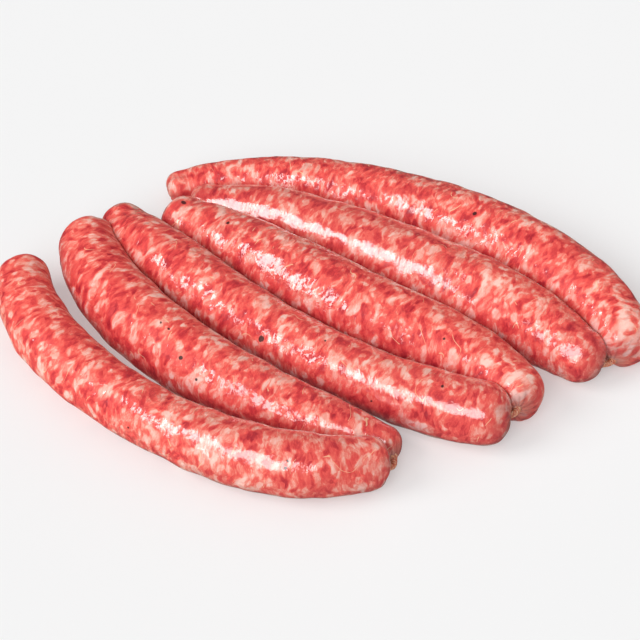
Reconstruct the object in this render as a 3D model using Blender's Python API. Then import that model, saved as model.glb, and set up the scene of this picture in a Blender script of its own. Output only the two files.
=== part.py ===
"""A string of raw pork sausages: six links in one natural casing, folded to and fro on a flat surface.

The links lie side by side, +X along them and +Z up, and their neighbours' ends are joined in turn at
the front (+X) and at the back (-X) by a short twist of bare casing. Design sizes are in millimetres
and degrees; meshes are made in metres. The origin is under the middle of the whole string.
"""

import math

import bmesh
import bpy
import numpy as np
from mathutils import Matrix, Quaternion, Vector

MM = 0.001

# Each link's centre line is set out from its middle: where that is, which way it runs there, how long
# the line is between the centres of its two rounded ends, and how far each quarter of it bends, from
# the back to the front. Its radii are those at the back, at the three quarter points and at the front.
# Squareness shapes the back and the front end: 2 is a half ball, more is blunter. Round its gathered
# tip an end is drawn in by its dimple, or drawn out where that is less than nothing.
LINKS = (
    {"middle": (-20.2, -76.7), "heading": -0.7, "length": 172.5, "bends": (32, 12, 14, 39),
     "radii": (10.5, 12.1, 11.7, 12.2, 10.0), "squareness": (3.0, 2.5), "dimples": (1.8, 1.5)},
    {"middle": (-19.3, -46.9), "heading": -3.7, "length": 155, "bends": (26, 11, 17, 4),
     "radii": (11.9, 14.0, 13.7, 11.8, 7.3), "squareness": (2.7, 2.3), "dimples": (1.8, 0.0)},
    {"middle": (-4.5, -16.9), "heading": -0.3, "length": 171.5, "bends": (15, 8, 5, 17),
     "radii": (9.8, 13.6, 12.5, 12.0, 12.2), "squareness": (2.4, 2.1), "dimples": (1.5, 1.8)},
    {"middle": (6.3, 10.6), "heading": -0.2, "length": 153.5, "bends": (-1, 2, 14, -26),
     "radii": (10.3, 14.1, 15.2, 14.2, 11.1), "squareness": (2.5, 2.4), "dimples": (1.8, 1.8)},
    {"middle": (9.7, 41.2), "heading": 3.2, "length": 164.5, "bends": (-17, -1, -1, -4),
     "radii": (8.3, 12.6, 14.7, 15.2, 10.9), "squareness": (2.5, 2.0), "dimples": (1.2, 1.2)},
    {"middle": (2.3, 69.8), "heading": 7.3, "length": 199, "bends": (-35, -8, -7, -27),
     "radii": (6.8, 10.8, 14.2, 15.0, 12.0), "squareness": (2.7, 2.6), "dimples": (1.5, 1.8)},
)

# The twists of casing, each between a link and the next one. A twist's elbow stands out past the line
# through the two end centres, at its own height.
BACK, FRONT = 0, -1
JOINS = (
    {"link": 0, "end": FRONT, "stands_out": 10.5, "height": 4.5},
    {"link": 1, "end": BACK, "stands_out": 8.0, "height": 7.5},
    {"link": 2, "end": FRONT, "stands_out": 10.0, "height": 11.0},
    {"link": 3, "end": BACK, "stands_out": 8.2, "height": 7.0},
    {"link": 4, "end": FRONT, "stands_out": 8.5, "height": 6.0},
)
FREE_ENDS = ((0, BACK), (5, BACK))
FREE_END_DROOP = 40         # how far down the closed tip of a free end points

SAG = 0.93                  # height of a centre line, over the radius there: the skin rests on a flat strip
LUMP_HEIGHT = 0.22          # how far the coarse filling pushes the skin in and out
SKIN_GAP = 0.5              # between neighbouring pieces
DIMPLE_ANGLE = 55           # how far the dimple reaches from the tip, seen from the end's centre
NECK_RADIUS = 1.7           # where the skin is gathered
NECK_LENGTH = 0.6           # how far the gathered skin stands out of its dimple
WAIST_RADIUS = 1.3          # the middle of a twist

SPINE_STATIONS = 201        # points worked out along a centre line
BODY_STEPS = 24             # lengths of skin between the two rounded ends
END_STEPS = 6               # rings on a rounded end
SIDES = 18                  # faces round a link
TWIST_STEPS = 6
TWIST_SIDES = 10
PRESS_ROUNDS = 4            # how often a pressed point of skin is moved towards where two links meet

UP = np.array((0.0, 0.0, 1.0))


def running_total(rate, along):
    """Integral of a rate from the first station to each station."""
    steps = 0.5 * (rate[1:] + rate[:-1]) * np.diff(along)
    return np.concatenate(([0.0], np.cumsum(steps)))


class Spine:
    """A link's centre line: points, directions and radii, by station."""

    def __init__(self, link):
        along = np.linspace(0.0, 1.0, SPINE_STATIONS)
        middle = SPINE_STATIONS // 2
        quarter_middles = (0.125, 0.375, 0.625, 0.875)
        bend_rate = 4.0 * np.radians(np.interp(along, quarter_middles, link["bends"]))
        heading = running_total(bend_rate, along)
        heading += math.radians(link["heading"]) - heading[middle]
        x = link["length"] * running_total(np.cos(heading), along)
        y = link["length"] * running_total(np.sin(heading), along)
        x += link["middle"][0] - x[middle]
        y += link["middle"][1] - y[middle]
        quarter_points = np.linspace(0.0, 1.0, len(link["radii"]))
        swell = np.polyfit(quarter_points, link["radii"], len(link["radii"]) - 1)
        self.squareness = link["squareness"]
        self.dimples = link["dimples"]
        self.along = along
        self.radii = np.polyval(swell, along)
        self.points = np.column_stack((x, y, SAG * self.radii))
        self.directions = np.column_stack((np.cos(heading), np.sin(heading), np.zeros_like(along)))

    def outward(self, end):
        """The level direction that points out of the link at one end."""
        return self.directions[end] * (1.0 if end == FRONT else -1.0)

    def skin_distance(self, point):
        """How far a point is outside the link's skin, and the nearest point of its centre line."""
        for end in (BACK, FRONT):
            way = point - self.points[end]
            if np.dot(way, self.outward(end)) > 0.0:
                length = np.linalg.norm(way)
                return length - self.blunt_reach(end, way / length), self.points[end]
        distances = np.linalg.norm(self.points - point, axis=1) - self.radii
        station = int(np.argmin(distances))
        return distances[station], self.points[station]

    def blunt_reach(self, end, ways):
        """How far a rounded end, with no dimple, is from the end's centre, along each of the ways."""
        lengthwise = np.clip(ways @ self.outward(end), 0.0, 1.0)
        sideways = np.sqrt(1.0 - lengthwise**2)
        power = self.squareness[end]
        return self.radii[end] * (lengthwise**power + sideways**power)**(-1.0 / power)


def elbow_of(join, spines):
    """The point where a twist bends, out past the two ends and level with the join's height."""
    end = join["end"]
    first, second = spines[join["link"]], spines[join["link"] + 1]
    across = second.points[end] - first.points[end]
    level = across * (1.0, 1.0, 0.0) / np.linalg.norm(across[:2])
    out = first.outward(end) + second.outward(end)
    out -= level * np.dot(out, level)
    out /= np.linalg.norm(out)
    share = first.radii[end] / (first.radii[end] + second.radii[end])
    elbow = first.points[end] + share * across + join["stands_out"] * out
    elbow[2] = join["height"]
    return elbow


def droop_of(spine, end):
    """The direction of a free end's closed tip, out and down."""
    droop = math.radians(FREE_END_DROOP)
    return spine.outward(end) * math.cos(droop) - UP * math.sin(droop)


def tip_directions(spines):
    """The way each link's two gathered tips point, keyed by link and end."""
    tips = {}
    for join in JOINS:
        elbow = elbow_of(join, spines)
        for link in (join["link"], join["link"] + 1):
            way = elbow - spines[link].points[join["end"]]
            tips[link, join["end"]] = way / np.linalg.norm(way)
    for link, end in FREE_ENDS:
        tips[link, end] = droop_of(spines[link], end)
    return tips


def lump(along, angle, link):
    """Height of the uneven filling under the skin, the same on each run and different on each link."""
    slow = math.sin(2.0 * math.pi * 2.3 * along + angle + 2.1 * link)
    quick = math.sin(2.0 * math.pi * 4.7 * along - 2.0 * angle + 1.3 * link)
    return LUMP_HEIGHT * (0.6 * slow + 0.4 * quick)


def ring(centre, side, up, radius, bumps):
    """Points round a centre from the bottom, each moved out by its own bump."""
    turns = 2.0 * math.pi * np.arange(len(bumps)) / len(bumps) - 0.5 * math.pi
    spread = np.outer(np.cos(turns), side) + np.outer(np.sin(turns), up)
    return centre + spread * (radius + np.asarray(bumps))[:, None]


def cap_reach(spine, end, tip, ways):
    """How far the skin of a rounded end is from the end's centre, drawn in round the tip."""
    off_tip = np.degrees(np.arccos(np.clip(ways @ tip, -1.0, 1.0)))
    inside = np.clip(1.0 - off_tip / DIMPLE_ANGLE, 0.0, 1.0)
    return spine.blunt_reach(end, ways) - spine.dimples[end] * inside**2


def neck_of(spine, end, tip):
    """The middle of the face where a link's skin is gathered."""
    return spine.points[end] + tip * (cap_reach(spine, end, tip, tip) + NECK_LENGTH)


def end_rings(spine, end, tip):
    """Rings of a rounded end, from the body out to the gathered tip, which points its own way."""
    outward = spine.outward(end)
    side = np.cross(UP, spine.directions[end])
    full_turn = Vector(outward).rotation_difference(Vector(tip))
    narrowest = math.asin(NECK_RADIUS / cap_reach(spine, end, tip, tip))
    rings = []
    for step in range(1, END_STEPS + 1):
        share = step / END_STEPS
        turn = np.array(Quaternion().slerp(full_turn, share).to_matrix())
        polar = 0.5 * math.pi + (narrowest - 0.5 * math.pi) * share
        cone = ring(outward * math.cos(polar), side, UP, math.sin(polar), np.zeros(SIDES))
        ways = cone @ turn.T
        rings.append(spine.points[end] + ways * cap_reach(spine, end, tip, ways)[:, None])
    turn = np.array(full_turn.to_matrix())
    neck = neck_of(spine, end, tip)
    rings.append(ring(neck, turn @ side, turn @ UP, NECK_RADIUS, np.zeros(SIDES)))
    return rings


def body_rings(spine, link):
    """Rings of the long body, between the centres of the two rounded ends."""
    rings = []
    for station in np.linspace(0, SPINE_STATIONS - 1, BODY_STEPS + 1).astype(int):
        direction = spine.directions[station]
        along = spine.along[station]
        fade = math.sin(math.pi * along)
        angles = 2.0 * math.pi * np.arange(SIDES) / SIDES
        bumps = [fade * lump(along, angle, link) for angle in angles]
        rings.append(ring(spine.points[station], np.cross(UP, direction), UP, spine.radii[station], bumps))
    return rings


def settle(point, own, neighbours):
    """Press a point of skin flat against the neighbours it would enter, and against the surface below."""
    for neighbour in neighbours:
        for _ in range(PRESS_ROUNDS):
            own_distance, inside = own.skin_distance(point)
            press = 0.5 * (SKIN_GAP + own_distance - neighbour.skin_distance(point)[0])
            if press > 0.0:
                inward = inside - point
                point = point + inward * (press / np.linalg.norm(inward))
    point[2] = max(point[2], 0.0)
    return point


def link_rings(link, spines, tips):
    """All the rings of one link, from its back tip to its front tip."""
    spine = spines[link]
    rings = end_rings(spine, BACK, tips[link, BACK])[::-1]
    rings += body_rings(spine, link)
    rings += end_rings(spine, FRONT, tips[link, FRONT])
    neighbours = [spines[other] for other in (link - 1, link + 1) if 0 <= other < len(spines)]
    return [[settle(point, spine, neighbours) for point in row] for row in rings]


def twist_rings(join, spines, tips):
    """Rings of a twist of casing, along a curve from one gathered tip to the next."""
    end = join["end"]
    elbow = elbow_of(join, spines)
    stops = []
    for link in (join["link"], join["link"] + 1):
        tip = tips[link, end]
        stops.append(neck_of(spines[link], end, tip) + tip * SKIN_GAP)
    start, finish = stops
    rings = []
    for share in np.linspace(0.0, 1.0, TWIST_STEPS + 1):
        rest = 1.0 - share
        middle = rest**2 * start + 2.0 * rest * share * elbow + share**2 * finish
        way = rest * (elbow - start) + share * (finish - elbow)
        way /= np.linalg.norm(way)
        side = np.cross(UP, way)
        side /= np.linalg.norm(side)
        radius = WAIST_RADIUS + (NECK_RADIUS - WAIST_RADIUS) * (2.0 * share - 1.0)**2
        rings.append(ring(middle, side, np.cross(way, side), radius, np.zeros(TWIST_SIDES)))
    return rings


def make_material(name, colour, roughness):
    """A plain Principled material."""
    material = bpy.data.materials.new(name)
    material.use_nodes = True
    shader = material.node_tree.nodes["Principled BSDF"]
    shader.inputs["Base Color"].default_value = (*colour, 1.0)
    shader.inputs["Roughness"].default_value = roughness
    shader.inputs["Metallic"].default_value = 0.0
    material.diffuse_color = (*colour, 1.0)
    return material


def add_piece(name, rings, place, material, parent):
    """A closed skin through the rings, as an object that stands at its own place."""
    to_place = place.inverted()
    mesh_maker = bmesh.new()
    rows = []
    for row in rings:
        rows.append([mesh_maker.verts.new(to_place @ (Vector(point) * MM)) for point in row])
    for row, next_row in zip(rows, rows[1:]):
        for number, corner in enumerate(row):
            after = (number + 1) % len(row)
            mesh_maker.faces.new((corner, row[after], next_row[after], next_row[number]))
    mesh_maker.faces.new(rows[0])
    mesh_maker.faces.new(rows[-1])
    bmesh.ops.recalc_face_normals(mesh_maker, faces=mesh_maker.faces)
    mesh = bpy.data.meshes.new(name)
    mesh_maker.to_mesh(mesh)
    mesh_maker.free()
    mesh.shade_smooth()
    mesh.materials.append(material)
    piece = bpy.data.objects.new(name, mesh)
    bpy.context.collection.objects.link(piece)
    piece.parent = parent
    piece.matrix_local = place


def centre_of(skins):
    """The point of the flat surface under the middle of the box round all the rings."""
    points = np.array([point for rings in skins for row in rings for point in row])
    middle = 0.5 * (points.min(axis=0) + points.max(axis=0))
    return Vector((middle[0], middle[1], 0.0))


def build():
    """The whole string: six links and the five twists between them."""
    for old in list(bpy.data.objects):
        bpy.data.objects.remove(old, do_unlink=True)

    spines = [Spine(link) for link in LINKS]
    tips = tip_directions(spines)
    links = [link_rings(number, spines, tips) for number in range(len(LINKS))]
    twists = [twist_rings(join, spines, tips) for join in JOINS]

    string = bpy.data.objects.new("sausage_string", None)
    bpy.context.collection.objects.link(string)
    string.location = -centre_of(links + twists) * MM

    meat = make_material("raw_pork", (0.62, 0.12, 0.10), 0.28)
    for number, (link, rings) in enumerate(zip(LINKS, links), start=1):
        stand = Matrix.Translation(Vector((*link["middle"], 0.0)) * MM)
        place = stand @ Matrix.Rotation(math.radians(link["heading"]), 4, "Z")
        add_piece(f"link_{number}", rings, place, meat, string)

    casing = make_material("casing", (0.62, 0.38, 0.22), 0.40)
    for join, rings in zip(JOINS, twists):
        first = join["link"] + 1
        place = Matrix.Translation(Vector(elbow_of(join, spines)) * MM)
        add_piece(f"twist_{first}_{first + 1}", rings, place, casing, string)


build()
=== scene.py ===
"""The looks of a string of raw pork sausages: six links in one natural casing, folded to and fro.

Each link's skin is modelled finely over its CAD solid: the same centre line, radii and rounded ends,
pressed against its neighbours, with the coarse filling's relief and the pleats of its gathered tips.
The twists of bare casing run from tip to tip. Sizes of shapes and patterns are in millimetres.
"""

import math

import bpy
import numpy as np
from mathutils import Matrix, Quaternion, Vector


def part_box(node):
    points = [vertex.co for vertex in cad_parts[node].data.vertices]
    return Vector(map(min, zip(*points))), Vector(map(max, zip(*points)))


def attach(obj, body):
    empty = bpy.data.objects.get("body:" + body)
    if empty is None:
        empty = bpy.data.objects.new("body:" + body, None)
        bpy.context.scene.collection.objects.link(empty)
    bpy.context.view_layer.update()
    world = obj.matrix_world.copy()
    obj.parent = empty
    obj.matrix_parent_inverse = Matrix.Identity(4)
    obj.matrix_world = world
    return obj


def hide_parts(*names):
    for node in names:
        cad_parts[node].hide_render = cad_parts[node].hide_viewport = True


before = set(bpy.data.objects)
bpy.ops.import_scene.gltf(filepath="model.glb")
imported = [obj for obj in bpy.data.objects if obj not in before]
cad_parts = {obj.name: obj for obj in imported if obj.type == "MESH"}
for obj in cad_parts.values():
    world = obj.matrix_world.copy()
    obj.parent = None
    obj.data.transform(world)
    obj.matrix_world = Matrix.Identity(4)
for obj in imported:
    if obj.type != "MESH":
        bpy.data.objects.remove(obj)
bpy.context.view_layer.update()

MM = 0.001
BACK, FRONT = 0, -1
UP = np.array((0.0, 0.0, 1.0))

# The links and joins as the CAD model sets them out, in its own design frame.
LINKS = (
    {"middle": (-20.2, -76.7), "heading": -0.7, "length": 172.5, "bends": (32, 12, 14, 39),
     "radii": (10.5, 12.1, 11.7, 12.2, 10.0), "squareness": (3.0, 2.5), "dimples": (1.8, 1.5)},
    {"middle": (-19.3, -46.9), "heading": -3.7, "length": 155, "bends": (26, 11, 17, 4),
     "radii": (11.9, 14.0, 13.7, 11.8, 7.3), "squareness": (2.7, 2.3), "dimples": (1.8, 0.0)},
    {"middle": (-4.5, -16.9), "heading": -0.3, "length": 171.5, "bends": (15, 8, 5, 17),
     "radii": (9.8, 13.6, 12.5, 12.0, 12.2), "squareness": (2.4, 2.1), "dimples": (1.5, 1.8)},
    {"middle": (6.3, 10.6), "heading": -0.2, "length": 153.5, "bends": (-1, 2, 14, -26),
     "radii": (10.3, 14.1, 15.2, 14.2, 11.1), "squareness": (2.5, 2.4), "dimples": (1.8, 1.8)},
    {"middle": (9.7, 41.2), "heading": 3.2, "length": 164.5, "bends": (-17, -1, -1, -4),
     "radii": (8.3, 12.6, 14.7, 15.2, 10.9), "squareness": (2.5, 2.0), "dimples": (1.2, 1.2)},
    {"middle": (2.3, 69.8), "heading": 7.3, "length": 199, "bends": (-35, -8, -7, -27),
     "radii": (6.8, 10.8, 14.2, 15.0, 12.0), "squareness": (2.7, 2.6), "dimples": (1.5, 1.8)},
)
JOINS = (
    {"link": 0, "end": FRONT, "stands_out": 10.5, "height": 4.5},
    {"link": 1, "end": BACK, "stands_out": 8.0, "height": 7.5},
    {"link": 2, "end": FRONT, "stands_out": 10.0, "height": 11.0},
    {"link": 3, "end": BACK, "stands_out": 8.2, "height": 7.0},
    {"link": 4, "end": FRONT, "stands_out": 8.5, "height": 6.0},
)
FREE_ENDS = ((0, BACK), (5, BACK))
FREE_END_DROOP = 40         # degrees that the string's two free tips point down
SAG = 0.93                  # height of a link's centre line, as a share of its radius
DIMPLE_ANGLE = 55           # degrees round a tip over which the rounded end is drawn in
NECK_RADIUS = 1.7
NECK_LENGTH = 0.6
QUARTER_MIDDLES = (0.125, 0.375, 0.625, 0.875)

# The finer skin made here.
SPINE_STATIONS = 201
BODY_ROWS = 300
END_ROWS = 44
SIDES = 144
CASING_SPACING = 400.0      # between one link's start and the next one's, along the straightened casing
JUNCTION_ROWS = 14          # rows smoothed where a rounded end meets the body
JUNCTION_PASSES = 30
CONTACT_GAP = 0.06          # between two links that press on each other
PRESS_ROUNDS = 5
PRESS_REACH = 6.0           # further than this outside a neighbour, nothing can touch it
NOOK_SHADE_REACH = 12.0           # how near a neighbour the skin is darkened by painted shade
NOOK_SHADE_LEAST = 0.06           # share of that painted shade left on skin that faces up


def running_total(rate, along):
    """Integral of a rate from the first station to each station."""
    steps = 0.5 * (rate[1:] + rate[:-1]) * np.diff(along)
    return np.concatenate(([0.0], np.cumsum(steps)))


class Spine:
    """A link's centre line: points, directions and radii, by station."""

    def __init__(self, link):
        along = np.linspace(0.0, 1.0, SPINE_STATIONS)
        middle = SPINE_STATIONS // 2
        bend_rate = 4.0 * np.radians(np.interp(along, QUARTER_MIDDLES, link["bends"]))
        heading = running_total(bend_rate, along)
        heading += math.radians(link["heading"]) - heading[middle]
        x = link["length"] * running_total(np.cos(heading), along)
        y = link["length"] * running_total(np.sin(heading), along)
        x += link["middle"][0] - x[middle]
        y += link["middle"][1] - y[middle]
        quarter_points = np.linspace(0.0, 1.0, len(link["radii"]))
        swell = np.polyfit(quarter_points, link["radii"], len(link["radii"]) - 1)
        self.length = link["length"]
        self.squareness = link["squareness"]
        self.dimples = link["dimples"]
        self.along = along
        self.radii = np.polyval(swell, along)
        self.points = np.column_stack((x, y, SAG * self.radii))
        self.directions = np.column_stack((np.cos(heading), np.sin(heading), np.zeros_like(along)))

    def outward(self, end):
        """The level direction that points out of the link at one end."""
        return self.directions[end] * (1.0 if end == FRONT else -1.0)

    def blunt_reach(self, end, ways):
        """How far a rounded end, with no dimple, is from the end's centre, along each of the ways."""
        lengthwise = np.clip(ways @ self.outward(end), 0.0, 1.0)
        sideways = np.sqrt(np.clip(1.0 - lengthwise**2, 0.0, 1.0))
        power = self.squareness[end]
        return self.radii[end] * (lengthwise**power + sideways**power)**(-1.0 / power)

    def skin_distances(self, points):
        """How far each point is outside the link's skin, and the nearest centre of each."""
        squares = (points**2).sum(1)[:, None] + (self.points**2).sum(1) - 2.0 * points @ self.points.T
        gaps = np.sqrt(np.clip(squares, 0.0, None)) - self.radii
        nearest = gaps.argmin(axis=1)
        distances = gaps[np.arange(len(points)), nearest]
        centres = self.points[nearest]
        for end in (BACK, FRONT):
            way = points - self.points[end]
            beyond = way @ self.outward(end) > 0.0
            lengths = np.linalg.norm(way[beyond], axis=1)
            distances[beyond] = lengths - self.blunt_reach(end, way[beyond] / lengths[:, None])
            centres[beyond] = self.points[end]
        return distances, centres


def elbow_of(join, spines):
    """The point where a twist bends, out past the two ends and level with the join's height."""
    end = join["end"]
    first, second = spines[join["link"]], spines[join["link"] + 1]
    across = second.points[end] - first.points[end]
    level = across * (1.0, 1.0, 0.0) / np.linalg.norm(across[:2])
    out = first.outward(end) + second.outward(end)
    out -= level * np.dot(out, level)
    out /= np.linalg.norm(out)
    share = first.radii[end] / (first.radii[end] + second.radii[end])
    elbow = first.points[end] + share * across + join["stands_out"] * out
    elbow[2] = join["height"]
    return elbow


def tip_directions(spines):
    """The way each link's two gathered tips point, keyed by link and end."""
    tips = {}
    for join in JOINS:
        elbow = elbow_of(join, spines)
        for link in (join["link"], join["link"] + 1):
            way = elbow - spines[link].points[join["end"]]
            tips[link, join["end"]] = way / np.linalg.norm(way)
    droop = math.radians(FREE_END_DROOP)
    for link, end in FREE_ENDS:
        tips[link, end] = spines[link].outward(end) * math.cos(droop) - UP * math.sin(droop)
    return tips


def cap_reach(spine, end, tip, ways):
    """How far the skin of a rounded end is from the end's centre, drawn in round the tip."""
    off_tip = np.degrees(np.arccos(np.clip(ways @ tip, -1.0, 1.0)))
    inside = np.clip(1.0 - off_tip / DIMPLE_ANGLE, 0.0, 1.0)
    return spine.blunt_reach(end, ways) - spine.dimples[end] * inside**2


def neck_of(spine, end, tip):
    """The middle of the face where a link's skin is gathered."""
    return spine.points[end] + tip * (cap_reach(spine, end, tip, tip) + NECK_LENGTH)


TURNS = 2.0 * math.pi * np.arange(SIDES) / SIDES - 0.5 * math.pi


def cap_rows(spine, end, tip):
    """Rows of a rounded end out to the gathered tip: places, and the same in the straightened casing."""
    outward = spine.outward(end)
    side = np.cross(UP, spine.directions[end])
    full_turn = Vector(outward).rotation_difference(Vector(tip))
    narrowest = math.asin(NECK_RADIUS / float(cap_reach(spine, end, tip, tip)))
    spread = np.outer(np.cos(TURNS), side) + np.outer(np.sin(TURNS), UP)
    flat_spread = np.column_stack((np.zeros(SIDES), np.cos(TURNS), np.sin(TURNS)))
    way_out = 1.0 if end == FRONT else -1.0
    base = spine.length if end == FRONT else 0.0
    rows, flat_rows = [], []
    for step in range(1, END_ROWS + 1):
        share = step / END_ROWS
        turn = np.array(Quaternion().slerp(full_turn, share).to_matrix())
        polar = 0.5 * math.pi + (narrowest - 0.5 * math.pi) * share
        ways = (outward * math.cos(polar) + spread * math.sin(polar)) @ turn.T
        reach = cap_reach(spine, end, tip, ways)[:, None]
        rows.append(spine.points[end] + ways * reach)
        flat = flat_spread * math.sin(polar) * reach
        flat[:, 0] = base + way_out * math.cos(polar) * reach[:, 0]
        flat_rows.append(flat)
    turn = np.array(full_turn.to_matrix())
    rows.append(neck_of(spine, end, tip) + (spread @ turn.T) * NECK_RADIUS)
    flat_rows.append(flat_rows[-1] + (way_out * NECK_LENGTH, 0.0, 0.0))
    return rows, flat_rows


def body_rows(spine):
    """Rows of the long body: places, and the same in the straightened casing."""
    rows, flat_rows = [], []
    for along in np.linspace(0.0, 1.0, BODY_ROWS + 1):
        centre = np.array([np.interp(along, spine.along, values) for values in spine.points.T])
        direction = np.array([np.interp(along, spine.along, values) for values in spine.directions.T])
        direction /= np.linalg.norm(direction)
        radius = np.interp(along, spine.along, spine.radii)
        side = np.cross(UP, direction)
        spread = np.outer(np.cos(TURNS), side) + np.outer(np.sin(TURNS), UP)
        rows.append(centre + spread * radius)
        flat = np.column_stack((np.full(SIDES, along * spine.length),
                                radius * np.cos(TURNS), radius * np.sin(TURNS)))
        flat_rows.append(flat)
    return rows, flat_rows


def soft_noise(points, height, sizes, waves, seed):
    """A smooth random field over points: a sum of waves in random directions."""
    chance = np.random.default_rng(seed)
    total = np.zeros(len(points))
    for _ in range(waves):
        way = chance.normal(size=3)
        way *= 2.0 * math.pi / (np.linalg.norm(way) * chance.uniform(*sizes))
        total += np.cos(points @ way + chance.uniform(0.0, 2.0 * math.pi))
    return height * (total * math.sqrt(2.0 / waves) * 0.6)


def normals_of(grid):
    """Outward unit normals of a closed tube of points, rows by columns."""
    round_way = np.roll(grid, -1, axis=1) - np.roll(grid, 1, axis=1)
    long_way = np.gradient(grid, axis=0)
    normals = np.cross(round_way, long_way)
    return normals / np.maximum(np.linalg.norm(normals, axis=2, keepdims=True), 1e-9)


def smooth_junctions(grid):
    """Rounds off the slight kinks where the body meets its two rounded ends."""
    rows = np.arange(len(grid))
    for junction in (END_ROWS + 1, END_ROWS + 1 + BODY_ROWS):
        weight = np.clip(1.0 - np.abs(rows - junction) / JUNCTION_ROWS, 0.0, 1.0)[:, None, None]
        for _ in range(JUNCTION_PASSES):
            middle = grid.copy()
            middle[1:-1] = 0.25 * grid[:-2] + 0.5 * grid[1:-1] + 0.25 * grid[2:]
            grid = grid + weight * (middle - grid)
    return grid


# Pleats at the gathered tips: how many folds, how deep, and how far they reach from the tip.
FOLDS = ((5, 0.30, 15.0), (9, 0.32, 9.0), (14, 0.26, 5.5))
SWIRL = 0.7                 # how far the folds wind round towards the tip
SWIRL_REACH = 6.0
GATHER_REACH = 3.8          # how far bare casing shows round a tip
# The filling's relief under the casing, which fades out towards a tip.
COARSE_RELIEF = {"height": 0.30, "sizes": (9.0, 22.0), "waves": 40, "seed": 7}
FINE_RELIEF = {"height": 0.07, "sizes": (3.0, 7.0), "waves": 60, "seed": 8}
CALM_REACH = 8.0


def tip_distances(grid, end):
    """The length of skin from each row to the gathered tip at one end."""
    rows = grid if end == BACK else grid[::-1]
    steps = np.linalg.norm(np.diff(rows, axis=0), axis=2).mean(axis=1)
    distances = np.concatenate(([0.0], np.cumsum(steps)))
    return distances if end == BACK else distances[::-1]


def pleats(distances, link, end):
    """How deep the pleats are, rows by columns, and how sharp a crease is there, 0 to 1, which sets the
    painted shade in the creases.
    """
    chance = np.random.default_rng(100 + 10 * link + (1 if end == FRONT else 0))
    swirl = SWIRL * np.exp(-distances / SWIRL_REACH)[:, None]
    depth = np.zeros((len(distances), SIDES))
    crease_shade = np.zeros((len(distances), SIDES))
    for count, height, reach in FOLDS:
        wander = 0.35 * np.sin(2.0 * TURNS + chance.uniform(0.0, 6.0)) + 0.2 * np.sin(3.0 * TURNS)
        uneven = 0.65 + 0.35 * np.sin(TURNS * chance.integers(1, 4) + chance.uniform(0.0, 6.0))
        phase = 0.5 * count * (TURNS + swirl) + wander + chance.uniform(0.0, 6.0)
        fold = (1.0 - np.abs(np.sin(phase)))**1.6 * uneven
        fade = np.exp(-(distances / reach)**2)[:, None]
        depth += height * fade * (fold - 0.25)
        crease_shade = np.maximum(crease_shade, fold * fade)
    return depth, crease_shade


def press(points, own, neighbours):
    """Press points of skin flat against the neighbours they would enter."""
    for neighbour in neighbours:
        coarse = neighbour.points[::10]
        rough = np.linalg.norm(points[:, None] - coarse, axis=2).min(axis=1)
        near = np.flatnonzero(rough < neighbour.radii.max() + PRESS_REACH)
        moved = points[near]
        for _ in range(PRESS_ROUNDS):
            own_distances, insides = own.skin_distances(moved)
            amounts = 0.5 * (CONTACT_GAP + own_distances - neighbour.skin_distances(moved)[0])
            inward = insides - moved
            inward /= np.linalg.norm(inward, axis=1)[:, None]
            moved = moved + inward * np.clip(amounts, 0.0, None)[:, None]
        points[near] = moved
    return points


def link_skin(number, spines, tips):
    """One link's skin as a grid of places, with its casing coordinates and its marks."""
    spine = spines[number]
    back, flat_back = cap_rows(spine, BACK, tips[number, BACK])
    body, flat_body = body_rows(spine)
    front, flat_front = cap_rows(spine, FRONT, tips[number, FRONT])
    grid = smooth_junctions(np.array(back[::-1] + body + front))
    flat = np.array(flat_back[::-1] + flat_body + flat_front)
    normals = normals_of(grid)
    casing = flat.reshape(-1, 3) + (CASING_SPACING * number, 0.0, 0.0)
    relief = soft_noise(casing, **COARSE_RELIEF) + soft_noise(casing, **FINE_RELIEF)
    relief = relief.reshape(grid.shape[:2])
    gather = np.zeros(grid.shape[:2])
    crease_shade = np.zeros(grid.shape[:2])
    for end in (BACK, FRONT):
        distances = tip_distances(grid, end)
        depth, sharpness = pleats(distances, number, end)
        calm = np.clip(distances / CALM_REACH, 0.0, 1.0)[:, None]
        relief = relief * calm - depth
        crease_shade = np.maximum(crease_shade, sharpness)
        gather = np.maximum(gather, np.exp(-(distances / GATHER_REACH)**2)[:, None])
    grid = grid + normals * relief[:, :, None]
    neighbours = [spines[other] for other in (number - 1, number + 1) if 0 <= other < len(spines)]
    places = press(grid.reshape(-1, 3), spine, neighbours)
    places[:, 2] = np.maximum(places[:, 2], 0.0)
    # Painted shade: the skin is darkened where it nears a neighbour, in the crevices, and less where it
    # faces up.
    gaps = np.min([neighbour.skin_distances(places)[0] for neighbour in neighbours], axis=0)
    nook_shade = np.exp(-(np.maximum(gaps, 0.0) / NOOK_SHADE_REACH)**2).reshape(grid.shape[:2])
    nook_shade *= np.clip(1.05 - 1.15 * normals[:, :, 2], NOOK_SHADE_LEAST, 1.0)
    return places.reshape(grid.shape), casing, {"gather": gather, "crease_shade": crease_shade, "nook_shade": nook_shade}


# The twists of bare casing.
TWIST_ROWS = 90
TWIST_SIDES = 48
TWIST_WAIST = 1.25
TWIST_FLARE = 2.7
TWIST_LOBES = 5
TWIST_WINDS = 1.6           # turns of its folds from end to end
TWIST_SUNK = 1.4            # how far its ends run into the links' tips
TWIST_CASING = {"start": 900.0, "spacing": 60.0, "length": 18.0, "radius": 2.0}


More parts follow.
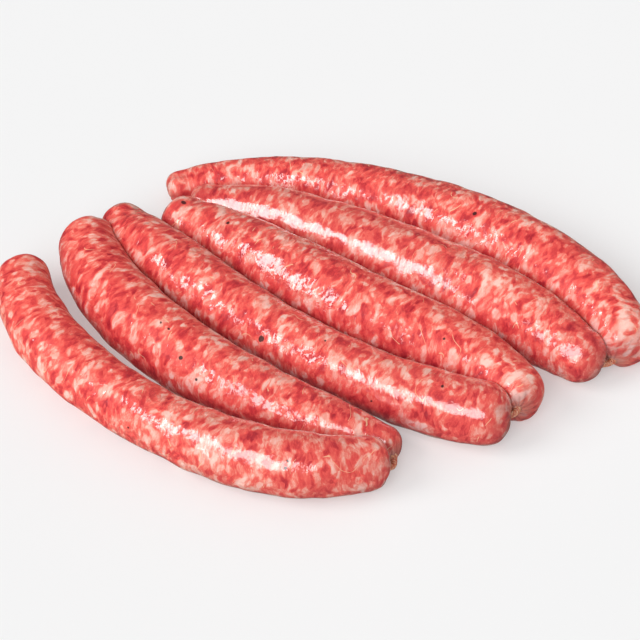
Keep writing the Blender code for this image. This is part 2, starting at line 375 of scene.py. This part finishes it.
def twist_skin(number, spines, tips):
    """A twist of casing, wound into folds, as a grid of places with its casing coordinates."""
    join = JOINS[number]
    end = join["end"]
    elbow = elbow_of(join, spines)
    stops = []
    for link in (join["link"], join["link"] + 1):
        tip = tips[link, end]
        stops.append(neck_of(spines[link], end, tip) - tip * TWIST_SUNK)
    start, finish = stops
    turns = 2.0 * math.pi * np.arange(TWIST_SIDES) / TWIST_SIDES
    rows, flat_rows, crease_shade_rows = [], [], []
    for share in np.linspace(0.0, 1.0, TWIST_ROWS + 1):
        rest = 1.0 - share
        middle = rest**2 * start + 2.0 * rest * share * elbow + share**2 * finish
        way = rest * (elbow - start) + share * (finish - elbow)
        way /= np.linalg.norm(way)
        side = np.cross(UP, way)
        side /= np.linalg.norm(side)
        top = np.cross(way, side)
        off_middle = abs(2.0 * share - 1.0)
        radius = TWIST_WAIST + (TWIST_FLARE - TWIST_WAIST) * off_middle**3
        wound = turns + 2.0 * math.pi * TWIST_WINDS * share
        fold = 1.0 - np.abs(np.sin(0.5 * TWIST_LOBES * wound + 0.4 * np.sin(wound)))
        fine = 1.0 - np.abs(np.sin(1.5 * TWIST_LOBES * wound + 2.0))
        radii = radius * (1.08 - 0.34 * fold**1.3 - 0.10 * fine)
        spread = np.outer(np.cos(turns), side) + np.outer(np.sin(turns), top)
        rows.append(middle + spread * radii[:, None])
        long_way = TWIST_CASING["start"] + TWIST_CASING["spacing"] * number + TWIST_CASING["length"] * share
        flat_rows.append(np.column_stack((np.full(TWIST_SIDES, long_way),
                                          TWIST_CASING["radius"] * np.cos(wound),
                                          TWIST_CASING["radius"] * np.sin(wound))))
        crease_shade_rows.append(fold)
    grid = np.array(rows)
    grid[:, :, 2] = np.maximum(grid[:, :, 2], 0.0)
    # The folds' bottoms carry painted shade.
    marks = {"gather": np.ones(grid.shape[:2]), "crease_shade": np.array(crease_shade_rows)}
    return grid, np.array(flat_rows).reshape(-1, 3), marks


def closed_tube(name, grid, casing, marks):
    """An object whose skin runs through a grid of places, closed at both ends, with its marks."""
    rows, sides = grid.shape[:2]
    corners = np.arange(rows * sides).reshape(rows, sides)
    here, there = corners[:-1], corners[1:]
    faces = np.stack((here, np.roll(here, -1, axis=1), np.roll(there, -1, axis=1), there), axis=-1)
    faces = faces.reshape(-1, 4).tolist()
    faces.append(corners[0][::-1].tolist())
    faces.append(corners[-1].tolist())
    mesh = bpy.data.meshes.new(name)
    mesh.from_pydata((grid.reshape(-1, 3) * MM).tolist(), [], faces)
    mesh.shade_smooth()
    vectors = mesh.attributes.new("casing", "FLOAT_VECTOR", "POINT")
    vectors.data.foreach_set("vector", casing.astype(np.float32).ravel())
    for title, values in marks.items():
        layer = mesh.attributes.new(title, "FLOAT", "POINT")
        layer.data.foreach_set("value", values.astype(np.float32).ravel())
    piece = bpy.data.objects.new(name, mesh)
    bpy.context.collection.objects.link(piece)
    return piece


def linear(red, green, blue):
    """A display colour, 0 to 255 each, as scene-linear red, green, blue and alpha."""
    shares = [value / 255.0 for value in (red, green, blue)]
    return (*[s / 12.92 if s <= 0.04045 else ((s + 0.055) / 1.055)**2.4 for s in shares], 1.0)


class Graph:
    """A material's node graph, with short calls for the nodes it uses."""

    def __init__(self, name):
        self.material = bpy.data.materials.new(name)
        self.material.use_nodes = True
        self.tree = self.material.node_tree
        self.shader = self.tree.nodes["Principled BSDF"]

    def feed(self, socket, value):
        """Link a socket to another one, or set it."""
        if isinstance(value, bpy.types.NodeSocket):
            self.tree.links.new(value, socket)
        else:
            socket.default_value = value

    def attribute(self, name, output="Fac"):
        node = self.tree.nodes.new("ShaderNodeAttribute")
        node.attribute_name = name
        return node.outputs[output]

    def vector(self, operation, first, second):
        node = self.tree.nodes.new("ShaderNodeVectorMath")
        node.operation = operation
        self.feed(node.inputs[0], first)
        self.feed(node.inputs[1], second)
        return node.outputs["Value" if operation == "DISTANCE" else "Vector"]

    def centred_noise(self, vector, size, detail):
        """A random vector field about zero, to bend a pattern by."""
        noise = self.noise(vector, size, detail, output="Color")
        return self.vector("SUBTRACT", noise, (0.5, 0.5, 0.5))

    def scaled(self, vector, factor):
        node = self.tree.nodes.new("ShaderNodeVectorMath")
        node.operation = "SCALE"
        self.feed(node.inputs[0], vector)
        self.feed(node.inputs["Scale"], factor)
        return node.outputs["Vector"]

    def math(self, operation, first, second=0.0):
        node = self.tree.nodes.new("ShaderNodeMath")
        node.operation = operation
        self.feed(node.inputs[0], first)
        self.feed(node.inputs[1], second)
        return node.outputs[0]

    def noise(self, vector, size, detail=2.0, roughness=0.5, output="Fac"):
        node = self.tree.nodes.new("ShaderNodeTexNoise")
        self.feed(node.inputs["Vector"], vector)
        node.inputs["Scale"].default_value = 1.0 / size
        node.inputs["Detail"].default_value = detail
        node.inputs["Roughness"].default_value = roughness
        return node.outputs[output]

    def cells(self, vector, size, blur):
        """A random tone for each cell, blurred into its neighbours' tones."""
        node = self.tree.nodes.new("ShaderNodeTexVoronoi")
        node.feature = "SMOOTH_F1"
        self.feed(node.inputs["Vector"], vector)
        node.inputs["Scale"].default_value = 1.0 / size
        node.inputs["Smoothness"].default_value = blur
        parts = self.tree.nodes.new("ShaderNodeSeparateColor")
        self.feed(parts.inputs["Color"], node.outputs["Color"])
        return parts.outputs["Red"]

    def step(self, value, low, high):
        """0 below low and 1 above high, with a smooth step between; low may be more than high."""
        node = self.tree.nodes.new("ShaderNodeMapRange")
        node.interpolation_type = "SMOOTHSTEP"
        self.feed(node.inputs["Value"], value)
        self.feed(node.inputs["From Min"], low)
        self.feed(node.inputs["From Max"], high)
        return node.outputs["Result"]

    def mix(self, share, first, second):
        node = self.tree.nodes.new("ShaderNodeMix")
        node.data_type = "RGBA"
        self.feed(node.inputs["Factor"], share)
        self.feed(node.inputs[6], first)
        self.feed(node.inputs[7], second)
        return node.outputs[2]

    def bump(self, height, distance, normal=None):
        node = self.tree.nodes.new("ShaderNodeBump")
        node.inputs["Strength"].default_value = 1.0
        node.inputs["Distance"].default_value = distance * MM
        self.feed(node.inputs["Height"], height)
        if normal is not None:
            self.feed(node.inputs["Normal"], normal)
        return node.outputs["Normal"]

    def ramp(self, value, stops):
        node = self.tree.nodes.new("ShaderNodeValToRGB")
        ramp = node.color_ramp
        while len(ramp.elements) < len(stops):
            ramp.elements.new(1.0)
        for element, (place, colour) in zip(ramp.elements, stops):
            element.position = place
            element.color = colour
        self.feed(node.inputs["Fac"], value)
        return node.outputs["Color"]


# Colours of the filling and the casing, as seen under white light.
# The darkest lean is also the colour of the painted shade in creases.
DARK_LEAN_AND_SHADE = linear(168, 38, 50)
CRIMSON = linear(204, 58, 62)
CORAL = linear(230, 82, 77)
BRIGHT = linear(240, 101, 90)
PINK = linear(243, 126, 110)
FAT = linear(248, 166, 150)
PALE_FAT = linear(252, 202, 188)
FIBRE = linear(252, 212, 168)
CASING_RED = linear(196, 84, 66)
CASING_TAN = linear(224, 142, 108)
CASING_CREAM = linear(246, 202, 168)
PEPPER = linear(38, 30, 30)
# A tint that darkens the skin as painted shade in the crevices between links.
NOOK_SHADE_TINT = (0.38, 0.26, 0.48)

# The filling's tone runs from lean at the low end to fat at the high end.
TONE_COLOURS = ((0.25, DARK_LEAN_AND_SHADE), (0.39, CRIMSON), (0.51, CORAL), (0.605, BRIGHT),
                (0.67, PINK), (0.77, FAT), (0.91, PALE_FAT))
# What makes up the tone: how much each texture adds, its size, and how it is squeezed along the casing
# and drawn out round it.
COARSE_CELLS = {"share": 0.39, "squeeze": (1.5, 0.92, 0.92), "size": 3.7, "blur": 0.7}
MIDDLING_CELLS = {"share": 0.25, "squeeze": (1.6, 0.85, 0.85), "size": 2.2, "blur": 0.4}
STRANDS = {"share": 0.32, "squeeze": (2.0, 0.85, 0.85), "size": 2.0, "detail": 4.0, "roughness": 0.68}
BROAD = {"share": 0.25, "squeeze": (1.3, 1.0, 1.0), "size": 9.0, "detail": 1.0, "roughness": 0.5}
HAIRS = {"share": 0.09, "squeeze": (2.4, 0.55, 0.55), "size": 2.2, "detail": 2.0, "roughness": 0.5}
HAIR_WIDTH = 0.028
SWELL_SIZE, SWELL_AMOUNT = 10.0, 4.5        # the slow wander of the whole pattern
FRAY_SIZE, FRAY_AMOUNT = 1.8, 0.85          # the ragged edges of its pieces
PATCH_CORE = 0.45           # share of a patch's size that has its full change of tone
SINEW = {"squeeze": (1.4, 0.7, 0.7), "size": 11.0, "outer": 0.0070, "inner": 0.0020, "strength": 0.72}
SINEW_PLACES = {"size": 6.0, "from": 0.58, "whole": 0.62}
SPECK_FRAY = 0.9
SPECK_EDGE = 0.14
PEPPER_STRENGTH = 0.92
GATHER_STRENGTH = 0.6       # how much of the tips' colour is bare casing
# How strong the painted shade in the pleats' creases is.
CREASE_SHADE_STRENGTH = 0.55
# How strong the painted shade in the crevices is.
NOOK_SHADE_STRENGTH = 0.55
# The film of water on the casing: whole where it is wettest, broken into glints where it is drier.
FILM = {"squeeze": (1.6, 1.0, 1.0), "size": 2.4, "weight": 1.3}
FILM_DRIFT = {"size": 14.0, "weight": 0.5}
FILM_WETNESS = 0.62
FILM_FROM, FILM_WHOLE = 1.14, 1.28


def squeezed_noise(graph, vector, texture):
    """Noise of one of the textures above."""
    squeezed = graph.vector("MULTIPLY", vector, texture["squeeze"])
    return graph.noise(squeezed, texture["size"], texture["detail"], texture["roughness"])


def squeezed_cells(graph, vector, texture):
    """Blurred cells of one of the textures above."""
    squeezed = graph.vector("MULTIPLY", vector, texture["squeeze"])
    return graph.cells(squeezed, texture["size"], texture["blur"])


def distance_from_half(graph, field):
    """How far a noise is from its middle value, to draw lines with."""
    return graph.math("ABSOLUTE", graph.math("SUBTRACT", field, 0.5))


def lean_and_fat(graph, bent, frayed, patches):
    """Minced pieces, each with its own tone from lean to fat, blurred together and drawn out."""
    hairs = distance_from_half(graph, squeezed_noise(graph, frayed, HAIRS))
    layers = (
        (squeezed_cells(graph, frayed, COARSE_CELLS), COARSE_CELLS["share"]),
        (squeezed_cells(graph, frayed, MIDDLING_CELLS), MIDDLING_CELLS["share"]),
        (squeezed_noise(graph, frayed, STRANDS), STRANDS["share"]),
        (squeezed_noise(graph, bent, BROAD), BROAD["share"]),
        (graph.step(hairs, HAIR_WIDTH, 0.0), HAIRS["share"]),
    )
    tone = 0.0
    for layer, share in layers:
        tone = graph.math("ADD", tone, graph.math("MULTIPLY", layer, share))
    for centre, size, change in patches:
        patch = graph.step(graph.vector("DISTANCE", bent, centre), size, PATCH_CORE * size)
        tone = graph.math("ADD", tone, graph.math("MULTIPLY", patch, change))
    return graph.ramp(tone, TONE_COLOURS)


def with_sinew(graph, casing, bent, meat):
    """Adds fine pale strands of sinew here and there."""
    field = graph.noise(graph.vector("MULTIPLY", bent, SINEW["squeeze"]), SINEW["size"], 0.0)
    line = graph.step(distance_from_half(graph, field), SINEW["outer"], SINEW["inner"])
    places = graph.noise(casing, SINEW_PLACES["size"], 1.0)
    here = graph.step(places, SINEW_PLACES["from"], SINEW_PLACES["whole"])
    strength = graph.math("MULTIPLY", graph.math("MULTIPLY", line, here), SINEW["strength"])
    return graph.mix(strength, meat, FIBRE)


def with_pepper(graph, casing, fray, meat, specks):
    """Adds the grains of pepper, each with a ragged edge."""
    nicked = graph.vector("ADD", casing, graph.scaled(fray, SPECK_FRAY))
    pepper = 0.0
    for centre, size in specks:
        grain = graph.step(graph.vector("DISTANCE", nicked, centre), size + SPECK_EDGE, size - SPECK_EDGE)
        pepper = graph.math("MAXIMUM", pepper, grain)
    return graph.mix(graph.math("MULTIPLY", pepper, PEPPER_STRENGTH), meat, PEPPER)


def with_ends_and_painted_shade(graph, casing, meat):
    """Adds the bare gathered casing at the tips, painted shade in its pleats, and painted shade in the
    crevices between links.
    """
    tip_tone = graph.mix(graph.noise(casing, 1.6, 2.0), CASING_TAN, CASING_CREAM)
    meat = graph.mix(graph.math("MULTIPLY", graph.attribute("gather"), GATHER_STRENGTH), meat, tip_tone)
    # Painted shade in the creases of the pleats.
    meat = graph.mix(graph.math("MULTIPLY", graph.attribute("crease_shade"), CREASE_SHADE_STRENGTH), meat, DARK_LEAN_AND_SHADE)
    shaded = graph.vector("MULTIPLY", meat, NOOK_SHADE_TINT)
    return graph.mix(graph.math("MULTIPLY", graph.attribute("nook_shade"), NOOK_SHADE_STRENGTH), meat, shaded)


def film_of_water(graph, casing, frayed):
    """Where the casing is wet, 0 to 1."""
    fine = graph.noise(graph.vector("MULTIPLY", frayed, FILM["squeeze"]), FILM["size"], 3.0, 0.6)
    drift = graph.noise(casing, FILM_DRIFT["size"], 1.0)
    film = graph.math("ADD", graph.math("MULTIPLY", fine, FILM["weight"]),
                      graph.math("MULTIPLY", drift, FILM_DRIFT["weight"]))
    film = graph.math("ADD", film, graph.math("MULTIPLY", graph.attribute("wet"), FILM_WETNESS))
    return graph.step(film, FILM_FROM, FILM_WHOLE)


def make_filling(patches, specks):
    """Coarse raw pork seen through its wet casing."""
    graph = Graph("raw_pork_skin")
    casing = graph.attribute("casing", "Vector")
    swell = graph.centred_noise(casing, SWELL_SIZE, 1.0)
    fray = graph.centred_noise(casing, FRAY_SIZE, 2.0)
    bent = graph.vector("ADD", casing, graph.scaled(swell, SWELL_AMOUNT))
    frayed = graph.vector("ADD", bent, graph.scaled(fray, FRAY_AMOUNT))
    meat = lean_and_fat(graph, bent, frayed, patches)
    meat = with_sinew(graph, casing, bent, meat)
    meat = with_pepper(graph, casing, fray, meat, specks)
    meat = with_ends_and_painted_shade(graph, casing, meat)

    skin_grain = graph.noise(graph.vector("MULTIPLY", casing, (1.5, 1.0, 1.0)), 0.8, 2.0, 0.6)
    fold_grain = graph.noise(graph.vector("MULTIPLY", frayed, (1.8, 0.8, 0.8)), 3.0, 2.0, 0.5)
    relief = graph.bump(skin_grain, 0.06, graph.bump(fold_grain, 0.18))
    inputs = graph.shader.inputs
    graph.feed(inputs["Base Color"], meat)
    graph.feed(inputs["Normal"], relief)
    graph.feed(inputs["Coat Normal"], relief)
    graph.feed(inputs["Roughness"], graph.math("ADD", 0.32, graph.math("MULTIPLY", skin_grain, 0.25)))
    graph.feed(inputs["Coat Weight"], film_of_water(graph, casing, frayed))
    inputs["Coat Roughness"].default_value = 0.05
    inputs["Coat IOR"].default_value = 2.0
    inputs["IOR"].default_value = 1.40
    inputs["Specular IOR Level"].default_value = 0.25
    inputs["Sheen Weight"].default_value = 0.45
    inputs["Sheen Roughness"].default_value = 0.20
    inputs["Sheen Tint"].default_value = (0.50, 0.70, 0.58, 1.0)
    inputs["Subsurface Weight"].default_value = 0.15
    inputs["Subsurface Radius"].default_value = (1.0, 0.35, 0.25)
    inputs["Subsurface Scale"].default_value = 1.6 * MM
    return graph.material


def make_casing():
    """Bare twisted casing: moist, mottled red, tan and cream, with painted shade darkening its creases."""
    graph = Graph("bare_casing")
    casing = graph.attribute("casing", "Vector")
    tone = graph.noise(casing, 1.3, 3.0, 0.6)
    colour = graph.ramp(tone, ((0.35, CASING_RED), (0.5, CASING_TAN), (0.68, CASING_CREAM)))
    # Painted shade: the bottoms of the folds are darkened towards dark red.
    crease_shading = graph.step(graph.attribute("crease_shade"), 0.45, 0.95)
    colour = graph.mix(graph.math("MULTIPLY", crease_shading, 0.8), colour, DARK_LEAN_AND_SHADE)
    grain = graph.noise(casing, 0.4, 2.0)
    inputs = graph.shader.inputs
    graph.feed(inputs["Base Color"], colour)
    graph.feed(inputs["Normal"], graph.bump(grain, 0.12))
    graph.feed(inputs["Roughness"], graph.math("ADD", 0.28, graph.math("MULTIPLY", grain, 0.2)))
    inputs["IOR"].default_value = 1.42
    inputs["Coat Weight"].default_value = 0.6
    inputs["Coat Roughness"].default_value = 0.15
    inputs["Subsurface Weight"].default_value = 0.2
    inputs["Subsurface Radius"].default_value = (1.0, 0.4, 0.25)
    inputs["Subsurface Scale"].default_value = 1.2 * MM
    return graph.material


def box_middle(points):
    """The middle of the box round some points."""
    return 0.5 * (points.min(axis=0) + points.max(axis=0))


def frame_offset(skins):
    """The level step from the design frame to the row frame, from the links' own CAD boxes."""
    steps = []
    for number, skin in enumerate(skins, start=1):
        low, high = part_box(f"link_{number}")
        cad_middle = 0.5 * (np.array(low) + np.array(high)) / MM
        steps.append(cad_middle - box_middle(skin.reshape(-1, 3)))
    return np.mean(steps, axis=0) * (1.0, 1.0, 0.0)


# How wet each link's casing is at evenly spaced places along it, from the back end to the front end.
WETNESS = (
    (0.20, 0.10, 0.40, 1.00, 0.50),
    (0.15, 0.05, 0.25, 0.60, 0.95),
    (0.40, 0.30, 0.40, 0.80, 1.00),
    (0.45, 0.60, 0.42, 0.12, 0.30),
    (0.80, 1.00, 0.95, 0.15, 1.00),
    (0.15, 0.46, 0.50, 0.25, 0.35),
)


# Fatter and leaner stretches, one on link 1 partly a painted highlight: link, share of its length from the
# back, share of its girth round it, size, and change of tone.
PATCHES = (
    (4, 0.930, 0.51, 9.0, 0.24),
    (6, 0.955, 0.50, 15.0, 0.13),
    (5, 0.930, 0.50, 15.0, -0.06),
    (1, 0.030, 0.55, 15.0, 0.06),
    (2, 0.030, 0.55, 13.0, 0.05),
    (4, 0.060, 0.60, 12.0, 0.07),
    (1, 0.330, 0.68, 16.0, 0.05),
    # A paler stretch on link 1: partly fatter filling, partly a painted highlight.
    (1, 0.640, 0.72, 12.0, 0.07),
    (2, 0.900, 0.62, 10.0, 0.05),
    (5, 0.500, 0.55, 14.0, 0.04),
    (6, 0.450, 0.50, 20.0, -0.03),
    (2, 0.350, 0.60, 14.0, -0.03),
    (3, 0.150, 0.10, 14.0, 0.04),
    (4, 0.550, 0.15, 16.0, 0.05),
    (2, 0.200, 0.44, 7.0, -0.10),
    (2, 0.555, 0.65, 5.5, 0.15),
    (1, 0.575, 0.53, 6.0, 0.13),
    (1, 0.565, 0.65, 6.5, 0.10),
    (1, 0.705, 0.77, 5.0, 0.12),
    (4, 0.835, 0.58, 4.5, 0.15),
    (5, 0.710, 0.55, 6.0, 0.15),
    (3, 0.670, 0.61, 5.5, 0.12),
)
# Grains of pepper: link, share of its length from the back, share of its girth round it, and radius.
SPECKS = (
    (1, 0.510, 0.701, 0.40),
    (1, 0.767, 0.639, 0.62),
    (1, 0.769, 0.604, 0.45),
    (1, 0.400, 0.150, 0.50),
    (2, 0.431, 0.535, 0.38),
    (2, 0.451, 0.535, 0.45),
    (2, 0.505, 0.611, 0.85),
    (2, 0.549, 0.660, 0.60),
    (2, 0.300, 0.200, 0.60),
    (3, 0.505, 0.653, 1.15),
    (3, 0.605, 0.514, 0.42),
    (3, 0.718, 0.708, 0.50),
    (3, 0.821, 0.528, 0.60),
    (3, 0.300, 0.050, 0.45),
    (4, 0.103, 0.507, 0.90),
    (4, 0.228, 0.528, 0.75),
    (4, 0.741, 0.583, 0.50),
    (4, 0.500, 0.900, 0.50),
    (5, 0.500, 0.100, 0.50),
    (5, 0.760, 0.850, 0.40),
    (6, 0.600, 0.549, 0.80),
    (6, 0.350, 0.150, 0.60),
)


def spot_on(links, number, along, round_it):
    """The casing coordinates of a spot on a link, from shares of its length and girth."""
    grid, casing = links[number - 1][:2]
    row = round(along * (len(grid) - 1))
    side = round(round_it * SIDES) % SIDES
    return tuple(float(value) for value in casing[row * SIDES + side])


def build_string():
    """All the pieces of the string, each riding on the one body and standing for its CAD node."""
    spines = [Spine(link) for link in LINKS]
    tips = tip_directions(spines)
    links = [link_skin(number, spines, tips) for number in range(len(LINKS))]
    offset = frame_offset([link[0] for link in links])
    patches = [(spot_on(links, *place), size, change) for *place, size, change in PATCHES]
    specks = [(spot_on(links, *place), size) for *place, size in SPECKS]
    filling = make_filling(patches, specks)
    bare = make_casing()
    for number, (grid, casing, marks) in enumerate(links, start=1):
        shares = np.linspace(0.0, 1.0, len(grid))
        wetness = WETNESS[number - 1]
        wet_rows = np.interp(shares, np.linspace(0.0, 1.0, len(wetness)), wetness)
        marks["wet"] = np.repeat(wet_rows[:, None], SIDES, axis=1)
        piece = closed_tube(f"skin_{number}", grid + offset, casing, marks)
        piece.data.materials.append(filling)
        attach(piece, "root")
        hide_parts(f"link_{number}")
    for number, join in enumerate(JOINS):
        first = join["link"] + 1
        grid, casing, marks = twist_skin(number, spines, tips)
        piece = closed_tube(f"knot_{first}_{first + 1}", grid + offset, casing, marks)
        piece.data.materials.append(bare)
        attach(piece, "root")
        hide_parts(f"twist_{first}_{first + 1}")


# The view: the camera looks down at the string from its front left.
VIEW_AZIMUTH = 36
VIEW_ELEVATION = 45
VIEW_DISTANCE = 1.0
VIEW_AIM = Vector((-0.00295, 0.00918, 0.0))
LENS = 146.3
SENSOR = 36.0


def direction(azimuth, elevation):
    """A unit vector towards an azimuth and an elevation: azimuth 0 is -Y and 90 is +X."""
    a, e = math.radians(azimuth), math.radians(elevation)
    return Vector((math.sin(a) * math.cos(e), -math.cos(a) * math.cos(e), math.sin(e)))


def make_camera():
    """The camera, level from side to side, with a narrow lens."""
    camera = bpy.data.cameras.new("camera")
    camera.lens = LENS
    camera.sensor_width = SENSOR
    stand = bpy.data.objects.new("camera", camera)
    back = direction(VIEW_AZIMUTH, VIEW_ELEVATION)
    stand.location = VIEW_AIM + back * VIEW_DISTANCE
    stand.rotation_euler = back.to_track_quat("Z", "Y").to_euler()
    bpy.context.collection.objects.link(stand)
    bpy.context.scene.camera = stand


# Soft lights, far off. Each one's azimuth is measured from the camera's, to the right, and its width
# is the angle that it fills in the sky. Only those with glints show in the wet casing.
LIGHTS = (
    {"name": "key_left", "azimuth": -78, "elevation": 39, "width": 33, "strength": 1.56, "glints": True},
    {"name": "key_front", "azimuth": -25, "elevation": 39, "width": 40, "strength": 1.61, "glints": True},
    {"name": "top_back", "azimuth": 100, "elevation": 60, "width": 125, "strength": 1.30, "glints": False},
)
SKY_COLOUR = (0.95, 0.97, 1.0, 1.0)
SKY_STRENGTH = 0.06


def make_lights():
    """The soft lights, and a faint even sky."""
    for light in LIGHTS:
        lamp = bpy.data.lights.new(light["name"], "SUN")
        lamp.energy = light["strength"]
        lamp.angle = math.radians(light["width"])
        stand = bpy.data.objects.new(light["name"], lamp)
        towards = direction(VIEW_AZIMUTH + light["azimuth"], light["elevation"])
        stand.rotation_euler = towards.to_track_quat("Z", "Y").to_euler()
        stand.location = towards
        stand.visible_glossy = light["glints"]
        bpy.context.collection.objects.link(stand)
    world = bpy.data.worlds.new("studio")
    world.use_nodes = True
    sky = world.node_tree.nodes["Background"].inputs
    sky["Color"].default_value = SKY_COLOUR
    sky["Strength"].default_value = SKY_STRENGTH
    bpy.context.scene.world = world
    bpy.context.scene.view_settings.view_transform = "Standard"


# The floor, in metres.
FLOOR_HALF = 3.0
FLOOR_DROP = 0.0001
FLOOR_GLOW = 0.345          # its own light, which keeps the shadows on it pale


def make_floor():
    """A plain pale floor just under the string, which doesn't mirror in the wet casing."""
    mesh = bpy.data.meshes.new("floor")
    corners = [(FLOOR_HALF * x, FLOOR_HALF * y, 0.0) for x, y in ((-1, -1), (1, -1), (1, 1), (-1, 1))]
    mesh.from_pydata(corners, [], [(0, 1, 2, 3)])
    floor = bpy.data.objects.new("floor", mesh)
    floor.location.z = -FLOOR_DROP
    floor.visible_glossy = False
    bpy.context.collection.objects.link(floor)
    graph = Graph("pale_floor")
    inputs = graph.shader.inputs
    inputs["Base Color"].default_value = (0.54, 0.54, 0.54, 1.0)
    inputs["Roughness"].default_value = 0.8
    inputs["Specular IOR Level"].default_value = 0.2
    inputs["Emission Color"].default_value = (1.0, 1.0, 1.0, 1.0)
    inputs["Emission Strength"].default_value = FLOOR_GLOW
    mesh.materials.append(graph.material)


build_string()
make_camera()
make_lights()
make_floor()
